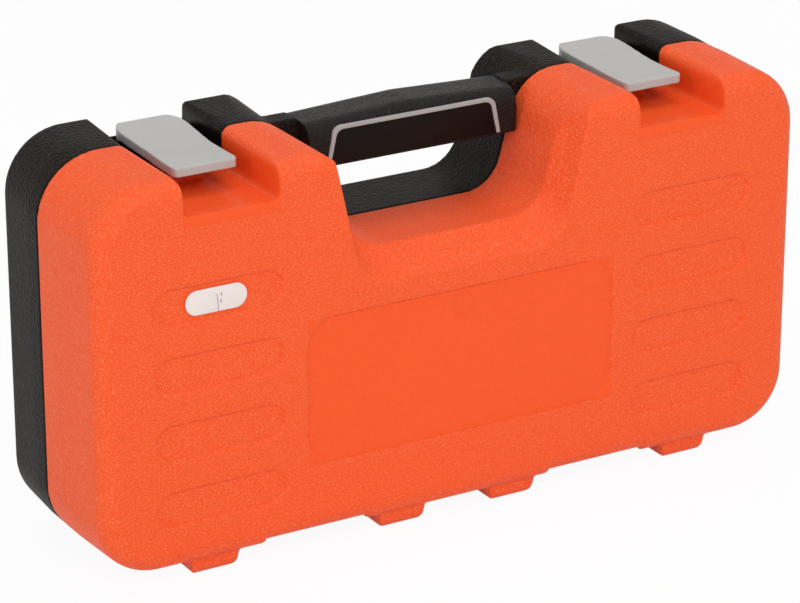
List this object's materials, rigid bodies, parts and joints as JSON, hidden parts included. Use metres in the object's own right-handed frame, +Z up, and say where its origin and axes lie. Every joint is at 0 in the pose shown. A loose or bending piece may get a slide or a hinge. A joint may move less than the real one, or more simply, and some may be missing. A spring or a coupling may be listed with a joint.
{
  "type": "socket wrench set in case",
  "caption": "Two-tone hinged carrying case with grip, two snap latches and feet, holding a ratchet, extensions, a universal joint and sockets.",
  "frame": {"origin": "under the middle of the closed case, on the surface that its feet stand on", "axes": "+X along the case to the right seen from its face, +Y from the lid's face to the base's back, +Z up to the handle"},
  "size_m": [0.385, 0.0974, 0.1997],
  "materials": {
    "case_orange": "fine pebble grain, satin",
    "liner_orange": "smooth satin",
    "case_black": "fine pebble grain, satin",
    "tray_black": "smooth satin",
    "latch_grey": "silver grey, satin",
    "pin_steel": "drawn wire",
    "grip_black": "coarse leather grain",
    "inlay_black": "smooth, soft touch",
    "bead_grey": "smooth",
    "label_white": "smooth",
    "chrome_satin": "satin chrome plate",
    "tool_steel": "ground steel",
    "handle_black": "ribbed, satin",
    "rubber_black": "smooth"
  },
  "bodies": {
    "base": {"base_shell": "case_black", "base_tray": "tray_black", "hinge_pins": "pin_steel", "latch_pins": "pin_steel", "cover_screws": "pin_steel", "pawl_spring": "pin_steel", "grip_sleeve": "grip_black", "grip_inlay": "inlay_black", "grip_bead": "bead_grey", "ratchet_body": "chrome_satin", "ratchet_cover": "chrome_satin", "long_extension": "chrome_satin", "short_extension": "chrome_satin", "joint_female_fork": "chrome_satin", "joint_male_fork": "chrome_satin", "socket_10": "chrome_satin", "socket_11": "chrome_satin", "socket_12": "chrome_satin", "socket_13": "chrome_satin", "socket_14": "chrome_satin", "socket_15": "chrome_satin", "socket_16": "chrome_satin", "socket_32": "chrome_satin", "socket_30": "chrome_satin", "socket_27": "chrome_satin", "socket_24": "chrome_satin", "socket_22": "chrome_satin", "socket_21": "chrome_satin", "socket_20": "chrome_satin", "socket_19": "chrome_satin", "socket_18": "chrome_satin", "socket_17": "chrome_satin", "plug_socket_16": "chrome_satin", "plug_socket_21": "chrome_satin", "ratchet_pawl": "tool_steel", "drive_balls": "tool_steel", "joint_cross": "tool_steel", "joint_pins": "tool_steel", "ratchet_grip": "handle_black", "plug_inserts": "rubber_black"},
    "lid": {"lid_shell": "case_orange", "lid_liner": "liner_orange", "label_plate": "label_white"},
    "latch_left": {"latch_left": "latch_grey"},
    "latch_right": {"latch_right": "latch_grey"},
    "ratchet_drive": {"drive_gear": "tool_steel", "ratchet_ball": "tool_steel"},
    "reversing_lever": {"reversing_lever": "tool_steel"},
    "release_button": {"release_button": "tool_steel"}
  },
  "joints": [
    {"name": "lid_hinge", "type": "hinge", "parent": "base", "child": "lid", "pos_m": [0, 0.0087, 0.0046], "axis": [1, 0, 0], "range_deg": [0, 110]},
    {"name": "latch_left_pivot", "type": "hinge", "parent": "base", "child": "latch_left", "pos_m": [-0.12225, 0.0399, 0.1897], "axis": [-1, 0, 0], "range_deg": [0, 95]},
    {"name": "latch_right_pivot", "type": "hinge", "parent": "base", "child": "latch_right", "pos_m": [0.12225, 0.0399, 0.1897], "axis": [-1, 0, 0], "range_deg": [0, 95]},
    {"name": "ratchet_drive_spin", "type": "hinge", "parent": "base", "child": "ratchet_drive", "pos_m": [-0.163, 0.0087, 0.036], "axis": [0, 1, 0], "continuous": true},
    {"name": "reversing_lever_turn", "type": "hinge", "parent": "base", "child": "reversing_lever", "pos_m": [-0.1486, 0.0087, 0.036], "axis": [0, 1, 0], "range_deg": [-25, 25]},
    {"name": "release_button_press", "type": "slide", "parent": "ratchet_drive", "child": "release_button", "axis": [0, 1, 0], "range_m": [0, 0.002], "stiffness_N_per_m": 300, "springref_m": -0.0005}
  ]
}
